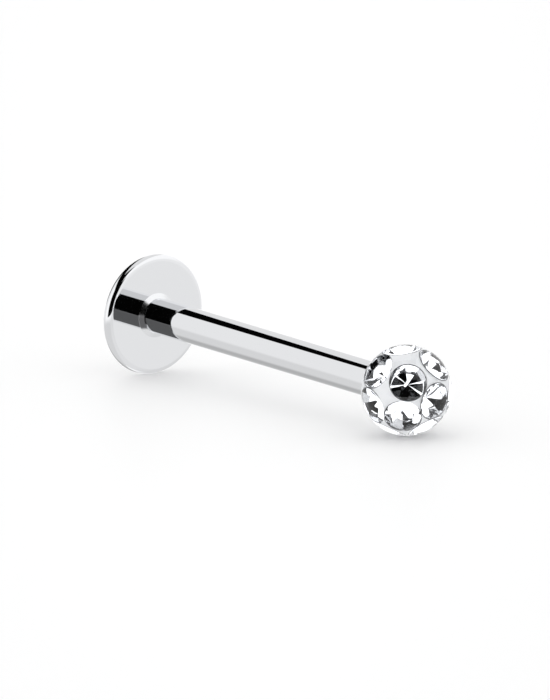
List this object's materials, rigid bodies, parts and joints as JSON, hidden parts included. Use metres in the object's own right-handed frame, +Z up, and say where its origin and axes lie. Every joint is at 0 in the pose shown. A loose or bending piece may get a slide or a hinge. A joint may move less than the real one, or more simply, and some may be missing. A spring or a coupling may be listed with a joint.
{
  "type": "labret stud with stone-set ball",
  "caption": "Straight labret stud: a round flat disc and a polished post in one piece, with a screw-on ball of clear cut stones in resin under a clear coat.",
  "frame": {"origin": "bottom centre of the stud as it lies on a flat surface, on the rim of its disc and the underside of its ball", "axes": "+X from the disc towards the ball, +Y across, +Z up; the post leans 2.2 degrees down towards the ball"},
  "size_m": [0.0152, 0.004, 0.004],
  "materials": {
    "polished_steel": "mirror-polished surgical steel",
    "barrel_steel": "turned steel",
    "pale_resin": "smooth pale grey resin",
    "clear_epoxy": "clear glossy coat",
    "cut_crystal": "cut clear crystal, silvered behind"
  },
  "bodies": {
    "ball": {"clear_coat": "clear_epoxy", "resin_ball": "pale_resin", "threaded_barrel": "barrel_steel", "stone_01": "cut_crystal", "stone_02": "cut_crystal", "stone_03": "cut_crystal", "stone_04": "cut_crystal", "stone_05": "cut_crystal", "stone_06": "cut_crystal", "stone_07": "cut_crystal", "stone_08": "cut_crystal", "stone_09": "cut_crystal", "stone_10": "cut_crystal", "stone_11": "cut_crystal", "stone_12": "cut_crystal", "stone_13": "cut_crystal"},
    "bar": {"labret_bar": "polished_steel"}
  },
  "joints": [
    {"name": "bar_unscrew", "type": "slide", "parent": "ball", "child": "bar", "axis": [-0.9992, 0, 0.0388], "range_m": [0, 0.013]}
  ]
}
